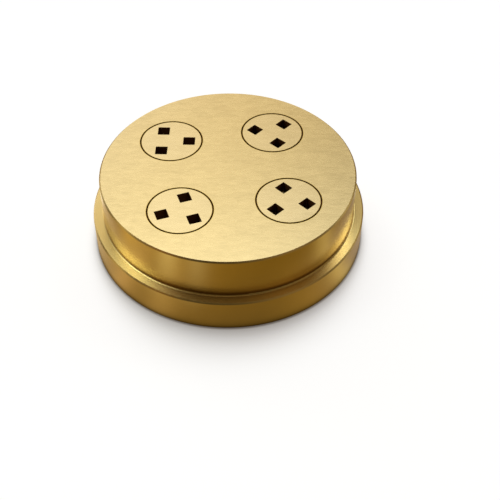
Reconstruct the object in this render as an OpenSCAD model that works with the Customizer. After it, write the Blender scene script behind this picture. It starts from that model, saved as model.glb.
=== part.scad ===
// Bronze die for a small pasta extruder: one turned body that carries four round inserts,
// each with three square orifices.
// The origin is the centre of the back face, which seats on the extruder's barrel.
// +Z is the way the pasta leaves, so the exit face is on top. Millimetres and degrees.

/* [Body] */
// Diameter of the exit face and of the straight wall below it
face_d = 54.5; // [48:0.5:90]
// Height from the back face to the exit face
body_h = 17; // [15:0.5:30]
// Height of the flange that the ring nut clamps
flange_h = 7.5; // [6:0.5:10]
// How far the flange stands out past the wall
flange_step = 2.25; // [1.5:0.05:6]
// Radius in the corner between the wall and the flange
root_r = 0.35; // [0.2:0.05:1]
// Size of the 45 degree edge break round the exit face
face_edge = 0.3; // [0.1:0.05:1]
// Size of the 45 degree edge break on the flange's upper rim
flange_edge = 0.3; // [0.1:0.05:0.6]
// Size of the 45 degree edge break on the flange's lower rim
foot_edge = 0.2; // [0.1:0.05:1]

/* [Dough chamber] */
// Depth of the round recess in the back face
chamber_depth = 5; // [4:0.5:7]
// Room between the insert heads and the chamber's wall
chamber_room = 0.8; // [0.4:0.1:1.5]
// Radius in the corner of the chamber's floor
chamber_corner = 0.5; // [0.1:0.1:1]
// Size of the 45 degree lead-in round the chamber's mouth
chamber_edge = 0.6; // [0.1:0.1:2]

/* [Inserts] */
// Wall between an insert's bore and the outside of the die
edge_web = 4.55; // [3:0.05:6]
// Wall of an insert's nose round its cup
nose_wall = 1; // [0.5:0.1:2]
// Radial clearance of a nose in its bore
nose_clearance = 0.03; // [0.01:0.01:0.1]
// How far an insert's head stands out past its nose
head_step = 1.2; // [0.6:0.1:2]
// Thickness of an insert's head
head_h = 3.5; // [2:0.5:5]
// Radial clearance of a head in its counterbore
head_clearance = 0.05; // [0.02:0.01:0.2]
// Size of the 45 degree edge breaks on an insert's back
insert_edge = 0.3; // [0.1:0.05:0.45]
// Width of the open ring round a nose at the exit face
seam_w = 0.36; // [0.1:0.02:0.5]
// Depth of that ring
seam_depth = 0.8; // [0.2:0.1:2]
// Turn of each insert in its bore, as it was pressed in
insert_turns = [39.5, -9, 191.5, 216.5]; // [-180:0.5:360]

/* [Orifices] */
// Side of a square orifice
orifice_side = 2.6; // [1.5:0.1:3]
// Radius in the corners of an orifice
orifice_corner = 0.12; // [0.05:0.01:0.4]
// Diameter of the circle that an insert's orifices lie on
orifice_pitch_d = 7.75; // [6.5:0.05:10]
// Length of the straight square land at the exit face
land = 2.5; // [1:0.1:4]
// Length of the round feed behind each land
feed_length = 3; // [1:0.1:4]
// Step between an orifice's corners and its round feed
feed_step = 0.06; // [0.05:0.01:0.5]
// Included angle of the drilled end of a feed
feed_tip_angle = 118; // [90:1:140]
// Step between the feeds and the wall of the insert's cup
cup_step = 0.1; // [0.05:0.05:0.5]
// Radius in the corner of the cup's floor
cup_corner = 0.1; // [0.05:0.05:0.4]

/* [Hidden] */
$fn = 96;

insert_count = len(insert_turns);
orifice_count = 3;
bronze = [0.80, 0.65, 0.36];
insert_bronze = [0.84, 0.70, 0.42];
// How far a cut runs past the face that it opens
overcut = 1;

flange_d = face_d + 2 * flange_step;
feed_d = orifice_side * sqrt(2) + 2 * feed_step;
feed_tip_h = (feed_d - orifice_side) / 2 / tan(feed_tip_angle / 2);
cup_d = orifice_pitch_d + feed_d + 2 * cup_step;
nose_d = cup_d + 2 * nose_wall;
nose_bore_d = nose_d + 2 * nose_clearance;
head_d = nose_d + 2 * head_step;
head_seat_d = head_d + 2 * head_clearance;
insert_h = body_h - chamber_depth;
cup_depth = insert_h - land - feed_length;
insert_pitch_d = face_d - nose_bore_d - 2 * edge_web;
chamber_d = insert_pitch_d + head_seat_d + 2 * chamber_room;
chamber_floor_r = min(chamber_corner, chamber_room);

// Sliver between two edges that meet square at the origin and an arc tangent to both:
// added in an inside corner it is a fillet, cut from an outside corner it rounds the edge
module corner_sliver(r) {
    difference() {
        square(r);
        translate([r, r]) circle(r);
    }
}

// Triangle cut from an outside corner at the origin for a 45 degree edge break
module corner_bevel(size) {
    polygon([[0, 0], [size, 0], [0, size]]);
}

// Half section of the turned body, before its insert bores
module body_profile() {
    difference() {
        union() {
            square([flange_d / 2, flange_h]);
            square([face_d / 2, body_h]);
            translate([face_d / 2, flange_h]) corner_sliver(root_r);
        }
        translate([face_d / 2, body_h]) rotate(180) corner_bevel(face_edge);
        translate([flange_d / 2, flange_h]) rotate(180) corner_bevel(flange_edge);
        translate([flange_d / 2, 0]) rotate(90) corner_bevel(foot_edge);
        chamber_profile();
    }
}

// Half section of the dough chamber with its lead-in
module chamber_profile() {
    difference() {
        square([chamber_d / 2, chamber_depth]);
        translate([chamber_d / 2, chamber_depth]) rotate(180) corner_sliver(chamber_floor_r);
    }
    translate([chamber_d / 2, 0]) corner_bevel(chamber_edge);
}

// Half section of an insert from the back of its head, with its cup
module insert_profile() {
    difference() {
        union() {
            square([head_d / 2, head_h]);
            square([nose_d / 2, insert_h - seam_depth]);
            square([nose_bore_d / 2 - seam_w, insert_h]);
        }
        translate([head_d / 2, 0]) rotate(90) corner_bevel(insert_edge);
        difference() {
            square([cup_d / 2, cup_depth]);
            translate([cup_d / 2, cup_depth]) rotate(180) corner_sliver(cup_corner);
        }
        translate([cup_d / 2, 0]) corner_bevel(insert_edge);
    }
}

// Square with its four corners rounded
module orifice_outline() {
    difference() {
        square(orifice_side, center = true);
        for (corner = [0 : 3]) {
            rotate(90 * corner)
                translate([-orifice_side / 2, -orifice_side / 2])
                    corner_sliver(orifice_corner);
        }
    }
}

// Path of one strand through an insert: round feed, drilled tip, then the square land
module strand_path() {
    feed_top = insert_h - land;
    translate([0, 0, cup_depth - overcut])
        cylinder(d = feed_d, h = feed_top - feed_tip_h - cup_depth + overcut);
    translate([0, 0, feed_top - feed_tip_h])
        cylinder(d1 = feed_d, d2 = orifice_side, h = feed_tip_h);
    translate([0, 0, feed_top - feed_tip_h])
        linear_extrude(land + feed_tip_h + overcut)
            orifice_outline();
}

// Moves a piece to the place of one insert, at the floor of the dough chamber
module at_seat(index) {
    angle = 360 / insert_count * (index + 0.5);
    translate([insert_pitch_d / 2 * cos(angle), insert_pitch_d / 2 * sin(angle), chamber_depth])
        children();
}

// Stepped bore that an insert is pressed into from the back
module insert_seat() {
    translate([0, 0, -overcut]) cylinder(d = head_seat_d, h = head_h + overcut);
    cylinder(d = nose_bore_d, h = insert_h + overcut);
}

// One insert in its place, turned as it was pressed in
module insert(index) {
    at_seat(index)
        rotate(insert_turns[index])
            difference() {
                rotate_extrude() insert_profile();
                for (hole = [0 : orifice_count - 1]) {
                    turn = 360 / orifice_count * hole;
                    translate([orifice_pitch_d / 2 * cos(turn), orifice_pitch_d / 2 * sin(turn), 0])
                        strand_path();
                }
            }
}

module die_body() {
    color(bronze)
        difference() {
            rotate_extrude() body_profile();
            for (index = [0 : insert_count - 1]) {
                at_seat(index) insert_seat();
            }
        }
}

module insert_1() {
    color(insert_bronze) insert(0);
}

module insert_2() {
    color(insert_bronze) insert(1);
}

module insert_3() {
    color(insert_bronze) insert(2);
}

module insert_4() {
    color(insert_bronze) insert(3);
}

die_body();
insert_1();
insert_2();
insert_3();
insert_4();
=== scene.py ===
# %% [markdown]
# # A bronze extrusion die
# A small kitchen extruder pushes dough through this die. It is a turned bronze body with a flange, and
# four round inserts are pressed into it from the back. Each insert has three square orifices.
# The solids come from the CAD model, and their shapes are right, so they stay as they are. This lesson
# gives them their finishes, the floor, the light and the camera.

# %% Load the solids
import math
import bpy
from mathutils import Matrix, Vector


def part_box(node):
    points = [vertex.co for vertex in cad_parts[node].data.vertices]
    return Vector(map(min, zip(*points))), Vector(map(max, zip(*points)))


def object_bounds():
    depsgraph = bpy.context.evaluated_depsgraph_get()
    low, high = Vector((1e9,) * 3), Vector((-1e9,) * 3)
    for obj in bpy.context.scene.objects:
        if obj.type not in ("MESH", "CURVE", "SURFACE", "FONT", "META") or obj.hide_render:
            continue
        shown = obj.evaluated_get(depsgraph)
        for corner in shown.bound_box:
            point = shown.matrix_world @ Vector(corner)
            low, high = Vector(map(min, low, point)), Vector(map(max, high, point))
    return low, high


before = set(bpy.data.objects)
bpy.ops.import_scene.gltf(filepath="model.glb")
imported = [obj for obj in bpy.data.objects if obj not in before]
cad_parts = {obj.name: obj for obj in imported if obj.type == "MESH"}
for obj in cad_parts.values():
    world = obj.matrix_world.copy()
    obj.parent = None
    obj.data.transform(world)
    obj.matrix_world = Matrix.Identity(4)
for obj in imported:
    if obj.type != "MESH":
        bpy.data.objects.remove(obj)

cad_low, cad_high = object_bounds()
mm = 0.001
print("solids:", sorted(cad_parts))
print("box in mm:", [round(side / mm, 2) for side in cad_high - cad_low])

# %% [markdown]
# ## The camera
# A picture of a small thing is taken from close by, so the far rim looks smaller than the near one.
# The camera stands at the height and distance that give the same ellipses, and it is turned a few
# degrees to the left of the die's front. It looks at a point a little to the right of the die and in
# front of it, which leaves free space on that side of the picture.

# %% Place the camera
camera_turn = math.radians(-8.017)
camera_height_angle = math.radians(45.956)
camera_roll = math.radians(0.27)
camera_distance = 204.12 * mm
aim_right = 4.73 * mm
aim_up = -5.26 * mm
focal_length_mm = 65.1
sensor_mm = 36.0

turn = Matrix.Rotation(camera_turn, 3, "Z")
right = turn @ Vector((1, 0, 0))
up = turn @ Vector((0, math.sin(camera_height_angle), math.cos(camera_height_angle)))
back = right.cross(up)
eye = aim_right * right + aim_up * up + camera_distance * back
rolled_right = math.cos(camera_roll) * right + math.sin(camera_roll) * up
rolled_up = back.cross(rolled_right)

bpy.ops.object.camera_add()
camera = bpy.context.object
camera.name = "camera"
camera.data.lens = focal_length_mm
camera.data.sensor_width = sensor_mm
camera.data.clip_start = 10 * mm
camera_axes = Matrix((rolled_right, rolled_up, back)).transposed()
camera.matrix_world = Matrix.Translation(eye) @ camera_axes.to_4x4()
bpy.context.scene.camera = camera
print("camera at", [round(c / mm) for c in eye], "mm")

# %% [markdown]
# ## Writing shaders as expressions
# A finish is a net of nodes. To read it as a formula, one class stands for an output socket, and adding
# or multiplying two of them adds a Math node.

# %% Sockets that can be added and multiplied


class Wire:
    """An output socket. Arithmetic on it adds Math nodes to the same tree."""

    def __init__(self, shop, socket):
        self.shop = shop
        self.socket = socket

    def math(self, operation, *values):
        return self.shop.node("ShaderNodeMath", {"operation": operation}, dict(enumerate(values)))

    def __add__(self, other):
        return self.math("ADD", self, other)

    def __sub__(self, other):
        return self.math("SUBTRACT", self, other)

    def __rsub__(self, other):
        return self.math("SUBTRACT", other, self)

    def __mul__(self, other):
        return self.math("MULTIPLY", self, other)

    def __truediv__(self, other):
        return self.math("DIVIDE", self, other)

    def __pow__(self, other):
        return self.math("POWER", self, other)

    __radd__ = __add__
    __rmul__ = __mul__

    def absolute(self):
        return self.math("ABSOLUTE", self)

    def exponential(self):
        return self.math("EXPONENT", self)

    def at_least(self, other):
        """The larger of this and the other value."""
        return self.math("MAXIMUM", self, other)

    def fade(self, start, end):
        """0 up to start and 1 from end on, with a smooth step between."""
        settings = {"interpolation_type": "SMOOTHSTEP"}
        sockets = {"Value": self, "From Min": start, "From Max": end}
        return self.shop.node("ShaderNodeMapRange", settings, sockets)


print("sockets can be added and multiplied")

# %% [markdown]
# ## A workshop for nodes
# Every node is made by one method, which sets the node's own choices first and then its sockets. The
# rest are short names for the nodes that come up often. Colours go through Mix and Vector Math, because
# a Math node would turn them grey.

# %% Nodes by one method


class Shop:
    """The node tree of a finish, of the floor or of the studio."""

    def __init__(self, owner):
        owner.use_nodes = True
        self.tree = owner.node_tree
        self.tree.nodes.clear()

    def node(self, kind, settings=None, inputs=None, output=0):
        made = self.tree.nodes.new(kind)
        for name, value in (settings or {}).items():
            setattr(made, name, value)
        for socket, value in (inputs or {}).items():
            if isinstance(value, Wire):
                self.tree.links.new(value.socket, made.inputs[socket])
            else:
                made.inputs[socket].default_value = value
        return Wire(self, made.outputs[output]) if made.outputs else None

    def mix(self, factor, a, b):
        """From colour a to colour b as the factor goes from 0 to 1."""
        sockets = {0: factor, 6: a, 7: b}
        return self.node("ShaderNodeMix", {"data_type": "RGBA"}, sockets, output=2)

    def blend(self, factor, a, b):
        """From shader a to shader b as the factor goes from 0 to 1."""
        return self.node("ShaderNodeMixShader", inputs={0: factor, 1: a, 2: b})

    def vector(self, operation, *values, output=0):
        """Vector Math; a Wire of one number counts for all three parts."""
        return self.node("ShaderNodeVectorMath", {"operation": operation}, dict(enumerate(values)), output)

    def noise(self, place, detail, roughness, distortion=0.0):
        """Cloudy noise of about one unit, around 0.5."""
        sockets = {
            "Vector": place, "Scale": 1.0, "Detail": detail,
            "Roughness": roughness, "Distortion": distortion,
        }
        return self.node("ShaderNodeTexNoise", {"noise_dimensions": "3D"}, sockets)

    def bump(self, height, strength):
        """A Bump node for marks about 0.02 mm deep."""
        sockets = {"Height": height, "Strength": strength, "Distance": 0.02 * mm}
        return self.node("ShaderNodeBump", inputs=sockets)


print("node helpers ready")

# %% [markdown]
# ## Bronze
# The body and the inserts are yellow bronze. The exit face was rubbed flat on abrasive after the inserts
# were pressed in, so one straight grain runs over the body and the inserts alike. The inserts come from
# another bar, and they are a little paler. The sides still have the fine rings that the lathe left, and
# they have darkened more than the rubbed face. All of it is metal, so its colour is the tint that it
# gives to its reflections. The places where one finish ends and another starts are measured on the
# solids, so that the finish fits them.

# %% Measures of the solids
face_height = cad_high.z
touch = 0.01 * mm
insert_centre = sum(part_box("insert_1"), Vector()) / 2


def corners(name):
    """Corner points of one solid's mesh."""
    return [vertex.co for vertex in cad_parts[name].data.vertices]


def off_insert(point):
    """Level distance of a point from the axis of the first insert."""
    return (point - insert_centre).xy.length


body_corners = corners("die_body")
body_at_face = [point for point in body_corners if point.z > face_height - touch]
insert_at_face = [point for point in corners("insert_1") if point.z > face_height - touch]
foot_radius = max(point.xy.length for point in body_corners if point.z < touch)
wall_radius = max(point.xy.length for point in body_corners if point.z > face_height / 2)
ledge_height = max(point.z for point in body_corners if point.xy.length > wall_radius + 1 * mm)
bore_radius = min(off_insert(point) for point in body_at_face)
nose_radius = max(off_insert(point) for point in insert_at_face)
ring_middle = (bore_radius + nose_radius) / 2
ring_width = bore_radius - nose_radius
print("exit face at", round(face_height / mm, 3), "mm, ledge at", round(ledge_height / mm, 3), "mm")
print("wall radius", round(wall_radius / mm, 3), "mm, foot radius", round(foot_radius / mm, 3), "mm")
print("open ring round an insert:", round(ring_width / mm, 3), "mm wide")
print("its middle is", round(ring_middle / mm, 3), "mm off the insert's axis")

# %% Tints of the bronze
body_tint = (0.92, 0.745, 0.40)
insert_tint = (0.945, 0.778, 0.45)
turned_tint = (0.90, 0.70, 0.32)
# Painted shade for the orifices and the open ring round each insert
hole_shade_tint = (0.20, 0.08, 0.025)
# Painted shade for the corner at the foot of the wall
corner_shade_tint = (0.30, 0.17, 0.035)
fringe_tint = (0.80, 0.55, 0.10)
print("tints: body", body_tint, "inserts", insert_tint, "turned sides", turned_tint)

# %% [markdown]
# ## Grain, rings and painted shade
# Six patterns make the finish. The straight grain is a noise that is stretched along the rubbing. The
# lathe's rings are a noise that is squeezed across the rings and runs round the axis. Painted shade
# darkens the orifices and the open ring round each insert, and a darker, more orange band runs along
# both edges of the ring on the face. More painted shade darkens the corner between the wall and the
# flange, in front. The last pattern picks out the flange's flat top. They could be painted as pictures,
# but formulas stay sharp close up and follow the measures of the solids.


# %% Grain and rings
def straight_grain(shop, place, length, width):
    """Noise in streaks along the rubbing direction, around 0."""
    sockets = {"Vector": place, "Rotation": (0, 0, camera_turn), "Scale": (length, width, length)}
    streaks = shop.node("ShaderNodeMapping", {"vector_type": "TEXTURE"}, sockets)
    return shop.noise(streaks, detail=2.0, roughness=0.5, distortion=0.4) - 0.5


def turned_rings(shop, x, y, z, radius, pitch, around):
    """Noise in rings round the axis, around 0, on walls and on flat turned faces alike."""
    sockets = {"X": x / radius * around, "Y": y / radius * around, "Z": (radius + z) / pitch}
    ring_place = shop.node("ShaderNodeCombineXYZ", inputs=sockets)
    return shop.noise(ring_place, detail=4.0, roughness=0.65) - 0.5


print("grain runs", round(math.degrees(camera_turn), 1), "degrees from the X axis")


# %% Painted shade in the holes, the ring's edges and painted corner shade
# How far the painted shade reaches down the orifices
hole_shade_depth = 2.4 * mm


def insert_radius(x, y):
    """Distance from the axis of the nearest insert."""
    from_x = x.absolute() - insert_centre.x
    from_y = y.absolute() - insert_centre.y
    return (from_x * from_x + from_y * from_y) ** 0.5


def painted_hole_shade(z, from_insert):
    """Painted shade: 1 below the exit face in the orifices and in the open ring, down to the land's end.
    """
    below_face = z.fade(face_height - 0.02 * mm, face_height - 0.08 * mm)
    in_land = z.fade(face_height - hole_shade_depth - 0.5 * mm, face_height - hole_shade_depth)
    in_bore = from_insert.fade(bore_radius + 0.07 * mm, bore_radius + 0.03 * mm)
    return in_bore * below_face * in_land


def fringe(from_insert):
    """1 along both edges of the open ring on the face, where the band is darker and more orange."""
    off_ring = (from_insert - ring_middle).absolute()
    return off_ring.fade(ring_width / 2 + 0.10 * mm, ring_width / 2)


def painted_corner_shade(y, z, radius):
    """Painted shade: 1 in the corner at the foot of the wall, on the front side only."""
    low = z.fade(ledge_height + 1.4 * mm, ledge_height + 0.45 * mm)
    outside = radius.fade(wall_radius - 0.15 * mm, wall_radius - 0.05 * mm)
    close_to_wall = radius.fade(wall_radius + 0.11 * mm, wall_radius + 0.03 * mm)
    in_front = y.fade(-10 * mm, -24 * mm)
    return low * close_to_wall * outside * in_front


def ledge(z):
    """1 on the flange's flat top."""
    from_below = z.fade(ledge_height - 0.15 * mm, ledge_height - 0.05 * mm)
    from_above = z.fade(ledge_height + 0.15 * mm, ledge_height + 0.05 * mm)
    return from_below * from_above


print("stain reaches", hole_shade_depth / mm, "mm down the orifices")

# %% [markdown]
# ## Three glosses
# A groove spreads a reflection across itself and hardly along itself. On the walls and on the flange's
# top, fine grooves run round the axis, so a light is drawn out into a streak across them. Nobody would
# model each groove: the shader's anisotropy gives the same streak. The rubbed face has many short
# scratches, and its gloss is even. So there are three shaders, blended by height: the face, the walls
# and the flange's top.


# %% Bare metal and the rubbed face
quarter_turn = 0.25


def bare_metal(shop, colour, roughness, bump, across):
    """Metal whose gloss is drawn out across the lathe's rings by the amount across."""
    sockets = {
        "Base Color": colour, "Metallic": 1.0, "Roughness": roughness, "Normal": bump,
        "Anisotropic": across, "Anisotropic Rotation": quarter_turn,
    }
    return shop.node("ShaderNodeBsdfPrincipled", inputs=sockets)


def rubbed_face(shop, place, from_insert, dark, tint, grain):
    """The exit face: coarse, middle and fine streaks, and faint clouds."""
    coarse = straight_grain(shop, place, length=3.2 * mm, width=1.1 * mm)
    middle = straight_grain(shop, place, length=1.5 * mm, width=0.45 * mm)
    fine = straight_grain(shop, place, length=0.8 * mm, width=0.25 * mm)
    clouds = straight_grain(shop, place, length=9 * mm, width=5 * mm)
    streaks = coarse * 0.8 + middle * 0.6 + fine * 0.5
    rubbed = shop.vector("MULTIPLY", tint, 1.0 + streaks * grain + clouds * 0.10)
    fringed = shop.mix(fringe(from_insert), rubbed, (*fringe_tint, 1))
    # painted shade darkens the orifices and the open ring
    colour = shop.mix(dark, fringed, (*hole_shade_tint, 1))
    roughness = 0.27 + streaks * 0.06
    return bare_metal(shop, colour, roughness, shop.bump(streaks, strength=0.10), across=0.0)


print("gloss of the rubbed face ready")


# %% Turned sides and the whole finish
def turned_sides(shop, x, y, z, radius, dark):
    """Walls and the flange's top: fine rings, broad bands, and painted shade in the corner."""
    rings = turned_rings(shop, x, y, z, radius, pitch=0.12 * mm, around=3.0)
    bands = turned_rings(shop, x, y, z, radius, pitch=6.0 * mm, around=9.0)
    turned = shop.vector("MULTIPLY", turned_tint, 0.97 + rings * 0.16 + bands * 0.10)
    # painted shade in the corner at the foot of the wall, then in the orifices and the open ring
    corner_shaded = shop.mix(painted_corner_shade(y, z, radius), turned, (*corner_shade_tint, 1))
    colour = shop.mix(dark, corner_shaded, (*hole_shade_tint, 1))
    bump = shop.bump(rings, strength=0.05)
    wall_roughness = 0.22 + rings * 0.06 + dark * 0.3
    shoulder_roughness = 0.24 + rings * 0.06
    wall = bare_metal(shop, colour, wall_roughness, bump, across=0.8)
    shoulder = bare_metal(shop, colour, shoulder_roughness, bump, across=1.0)
    return shop.blend(ledge(z), wall, shoulder)


def bronze_finish(name, tint, grain):
    """A material for the whole of a solid: rubbed at the exit face and turned below it."""
    material = bpy.data.materials.new(name)
    shop = Shop(material)
    place = shop.node("ShaderNodeTexCoord", output="Object")
    x, y, z = (shop.node("ShaderNodeSeparateXYZ", inputs={0: place}, output=axis) for axis in "XYZ")
    radius = (x * x + y * y) ** 0.5
    from_insert = insert_radius(x, y)
    dark = painted_hole_shade(z, from_insert)
    face = rubbed_face(shop, place, from_insert, dark, tint, grain)
    sides = turned_sides(shop, x, y, z, radius, dark)
    on_face = z.fade(face_height - 0.06 * mm, face_height - 0.01 * mm)
    shop.node("ShaderNodeOutputMaterial", inputs={"Surface": shop.blend(on_face, sides, face)})
    return material


print("finish ready for any solid of the die")

# %% [markdown]
# ## The finish on the solids
# The body and the four inserts get the same finish in two tints. The grain is fainter on the inserts.
# Each solid has one material slot from the CAD model, and the finish goes into that slot.

# %% Give the solids their finish
body_bronze = bronze_finish("body_bronze_rubbed", body_tint, grain=0.30)
insert_bronze = bronze_finish("insert_bronze_rubbed", insert_tint, grain=0.20)
for name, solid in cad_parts.items():
    solid.material_slots[0].material = body_bronze if name == "die_body" else insert_bronze
print("finished:", sorted(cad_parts))

# %% [markdown]
# ## Soft spots of light
# Smooth metal shows what stands round it, so the studio is as much a part of the picture as the bronze.
# A softbox seen from the die is a bright spot with a soft edge: brightest in one direction, and fading by
# an exponential of the angle. The same spot serves for the sky and for warm and pale cards on the floor.

# %% Directions and soft spots


def toward(turn_degrees, height_degrees=0.0):
    """Direction of a light: turned clockwise from straight behind the die, and up from the floor."""
    around = math.radians(turn_degrees)
    height = math.radians(height_degrees)
    to_right = math.sin(around) * math.cos(height)
    to_back = math.cos(around) * math.cos(height)
    return turn @ Vector((to_right, to_back, math.sin(height)))


def add_spots(shop, direction, spots, start):
    """Sum of soft spots: each has a direction, a sharpness and a colour."""
    total = shop.node("ShaderNodeCombineXYZ", inputs=dict(enumerate(start)))
    for centre, sharpness, colour in spots.values():
        near = (shop.vector("DOT_PRODUCT", direction, centre, output="Value") - 1.0) * sharpness
        total = shop.vector("MULTIPLY_ADD", near.exponential(), colour, total)
    return total


print("straight behind the die is", [round(c, 2) for c in toward(0)])

# %% [markdown]
# ## The floor
# The die lies on a pale sheet that runs out of the picture. The studio is lit to suit the bronze, and
# its light alone would leave the sheet too dark, with another shade. So the sheet also glows by itself,
# and the soft shade round the die is painted by the distance from the die's foot. It is longer in front.

# %% The floor's sheet
sheet_radius = 1.5
sheet_drop = 0.02 * mm
bpy.ops.object.select_all(action="DESELECT")
bpy.ops.mesh.primitive_circle_add(
    vertices=96, radius=sheet_radius, fill_type="NGON", location=(0, 0, -sheet_drop))
floor = bpy.context.object
floor.name = "floor"
print("floor sheet", 2 * sheet_radius, "m wide,", sheet_drop / mm, "mm below the die")

# %% Places on the floor
floor_material = bpy.data.materials.new("pale_floor")
floor_shop = Shop(floor_material)
floor_place = floor_shop.node("ShaderNodeTexCoord", output="Object")
reach = floor_shop.vector("LENGTH", floor_place, output="Value")
outward = floor_shop.vector("NORMALIZE", floor_place)
off_die = (reach - foot_radius).at_least(0.0)
under_die = reach.fade(foot_radius - 0.6 * mm, foot_radius - 1.0 * mm)
# 1 straight in front of the die, and less to both sides
facing = floor_shop.vector("DOT_PRODUCT", outward, toward(178), output="Value")
front = (facing * 3.0 - 3.0).exponential()
print("floor measured from the die's foot, at", round(foot_radius / mm, 2), "mm")

# %% The pale sheet and its shade
sheet_white = (0.80, 0.80, 0.80, 1)
sheet_shade = (0.03, 0.02, 0.015, 1)
sheet_own_colour = (0.45, 0.46, 0.52, 1)
shade_behind = 0.7 * mm
shade_more_in_front = 4.2 * mm
shade_falloff = 1.4
shade_reach = shade_behind + front * shade_more_in_front
wide_shade = ((off_die / shade_reach) ** shade_falloff * -1.0).exponential() * 0.66
tight_shade = reach.fade(foot_radius + 0.7 * mm, foot_radius + 0.2 * mm) * 0.25
shade = (wide_shade + tight_shade).at_least(under_die)
sheet_glow_colour = floor_shop.mix(shade, sheet_white, sheet_shade)
sheet_glow = floor_shop.node("ShaderNodeEmission", inputs={"Color": sheet_glow_colour})
sheet_lit = floor_shop.node("ShaderNodeBsdfDiffuse", inputs={"Color": sheet_own_colour})
floor_white = floor_shop.node("ShaderNodeAddShader", inputs={0: sheet_lit, 1: sheet_glow})
shade_in_front = shade_behind + shade_more_in_front
print("shade fades over", shade_behind / mm, "mm behind and", round(shade_in_front / mm, 2), "mm in front")

# %% [markdown]
# ## The floor in the bronze
# The bronze sides mirror the floor close to the die, and there it should look as a warm brown table
# does, with a few paler cards. Real cards would show in the picture. So only rays that leave a shiny
# surface meet a glow with those colours: one set of cards near the die, for the flange and the foot of
# the wall, and one further off.

# %% Cards that lie round the die
near_brown = (0.14, 0.09, 0.022)
near_cards = {
    "front_wide": (toward(225), 3, (0.12, 0.08, 0.03)),
    "pale_right": (toward(66), 126, (1.15, 1.13, 0.94)),
    "right": (toward(90), 5, (0.27, 0.24, 0.24)),
    "right_front": (toward(120), 126, (0.24, 0.21, 0.08)),
    "right_wide": (toward(138), 20, (0.10, 0.06, 0.00)),
    "front_left": (toward(210), 126, (0.12, 0.09, 0.05)),
    "left_front": (toward(234), 126, (0.18, 0.12, 0.06)),
    "left": (toward(288), 5, (0.71, 0.59, 0.44)),
    "pale_left": (toward(288), 126, (0.65, 0.70, 0.62)),
}
far_brown = (0.17, 0.10, 0.014)
far_cards = {
    "front_wide": (toward(225), 3, (0.18, 0.12, 0.03)),
    "right": (toward(90), 5, (0.07, 0.05, 0.01)),
    "right_front": (toward(114), 126, (0.26, 0.23, 0.12)),
    "front": (toward(198), 126, (0.13, 0.14, 0.12)),
    "front_left": (toward(216), 126, (0.29, 0.29, 0.20)),
    "left_front": (toward(234), 46, (0.10, 0.09, 0.06)),
    "left": (toward(246), 126, (0.28, 0.19, 0.04)),
    "pale_left": (toward(288), 126, (1.75, 1.75, 1.75)),
}
print("cards near the die:", len(near_cards), "and further off:", len(far_cards))

# %% The floor as the bronze mirrors it
far_start = 33 * mm
far_end = 42 * mm
black = (0, 0, 0, 1)
# painted shade: the floor that the bronze mirrors is darkened close to the die's foot
foot_reach = 0.3 * mm + front * (1.0 * mm)
foot_shade = ((off_die / foot_reach) ** shade_falloff * -1.0).exponential() * 0.8
foot_rise = 0.45 + 0.55 * reach.fade(foot_radius + 0.4 * mm, foot_radius + 1.1 * mm)
near_glow = add_spots(floor_shop, outward, near_cards, near_brown)
near_glow = floor_shop.vector("MULTIPLY", near_glow, (1.0 - foot_shade) * foot_rise)
far_glow = add_spots(floor_shop, outward, far_cards, far_brown)
glow = floor_shop.mix(reach.fade(far_start, far_end), near_glow, far_glow)
glow = floor_shop.mix(under_die, glow, black)
floor_mirrored = floor_shop.node("ShaderNodeEmission", inputs={"Color": glow})
in_metal = floor_shop.node("ShaderNodeLightPath", output="Is Glossy Ray")
floor_seen = floor_shop.blend(in_metal, floor_white, floor_mirrored)
print("the near cards give way to the far ones from", far_start / mm, "to", far_end / mm, "mm")

# %% [markdown]
# ## Light from below
# The die's back lies on the sheet, and a view from below would show nothing but the sheet, so it is clear
# from that side. Under the die it is clear for a ray's first bounce too, and light from below then
# reaches the back. It is less clear under the dough chamber, which stays darker than the rim round it.

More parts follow.
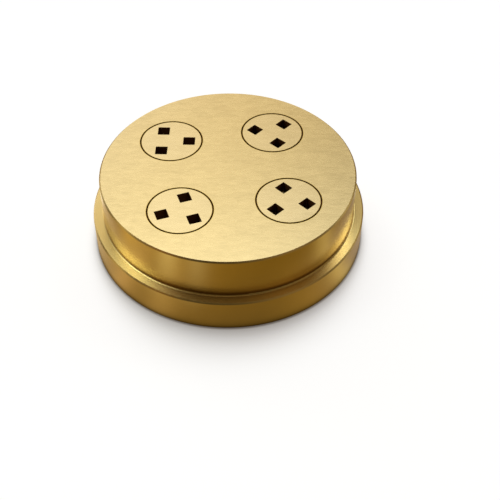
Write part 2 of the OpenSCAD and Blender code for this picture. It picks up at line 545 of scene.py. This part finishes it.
# %% Clear the sheet from below
chamber_mouth = 24.5 * mm
from_below = floor_shop.node("ShaderNodeNewGeometry", output="Backfacing")
bounces = floor_shop.node("ShaderNodeLightPath", output="Ray Depth")
first_bounce = bounces.fade(0.3, 0.7) * bounces.fade(1.7, 1.3)
under_rim = 0.2 + 0.8 * reach.fade(chamber_mouth - 0.5 * mm, chamber_mouth + 0.5 * mm)
clear = from_below.at_least(under_die * first_bounce * under_rim)
floor_surface = floor_shop.blend(clear, floor_seen, floor_shop.node("ShaderNodeBsdfTransparent"))
floor_shop.node("ShaderNodeOutputMaterial", inputs={"Surface": floor_surface})
floor_material.cycles.emission_sampling = "NONE"
floor.data.materials.append(floor_material)
print("floor finished with", len(floor_material.node_tree.nodes), "nodes")

# %% [markdown]
# ## Studio light
# Softboxes stand behind the die and to its left, high up. Two narrow ones at the right put a sparkle on
# the flange. A pale wall closes the back of the studio, and the camera's side is dark, which gives the
# sides their brown. A weak light overhead and a wide one underneath are for looking at the die from the
# top and from below.

# %% Softboxes round the die
studio_dim = (0.05, 0.035, 0.01)
softboxes = {
    "behind_high": (toward(0, 60), 45, (1.86, 2.02, 2.22)),
    "left_high": (toward(298, 57), 45, (3.39, 3.73, 3.25)),
    "behind_left": (toward(340, 30), 45, (0.30, 0.39, 0.68)),
    "left": (toward(280, 40), 45, (0.14, 0.07, 0.04)),
    "back_wall": (toward(326, 14), 20, (2.25, 2.02, 1.55)),
    "right_low": (toward(60, 30), 20, (0.85, 0.74, 0.50)),
    "behind_low": (toward(0, 30), 45, (0.52, 0.40, 0.24)),
    "right_narrow": (toward(36, 47), 140, (2.40, 2.72, 2.52)),
    "right_high": (toward(50, 45), 90, (1.05, 1.10, 1.20)),
    "right_fill": (toward(120, 45), 10, (0.17, 0.11, 0.05)),
    "overhead": (toward(330, 82), 25, (0.40, 0.30, 0.20)),
    "underneath": (toward(0, -90), 2.5, (1.00, 0.97, 0.90)),
    "behind_middle": (toward(348, 47), 45, (0.53, 0.46, 0.22)),
    "left_side": (toward(270, 18), 45, (0.50, 0.39, 0.16)),
    "left_fill": (toward(240, 40), 45, (0.22, 0.09, 0.00)),
}
bpy.context.scene.world = bpy.data.worlds.new("studio")
studio = Shop(bpy.context.scene.world)
look = studio.node("ShaderNodeTexCoord", output="Generated")
light = add_spots(studio, look, softboxes, studio_dim)
background = studio.node("ShaderNodeBackground", inputs={"Color": light})
studio.node("ShaderNodeOutputWorld", inputs={"Surface": background})
bpy.context.scene.view_settings.view_transform = "Standard"
print("softboxes:", len(softboxes))
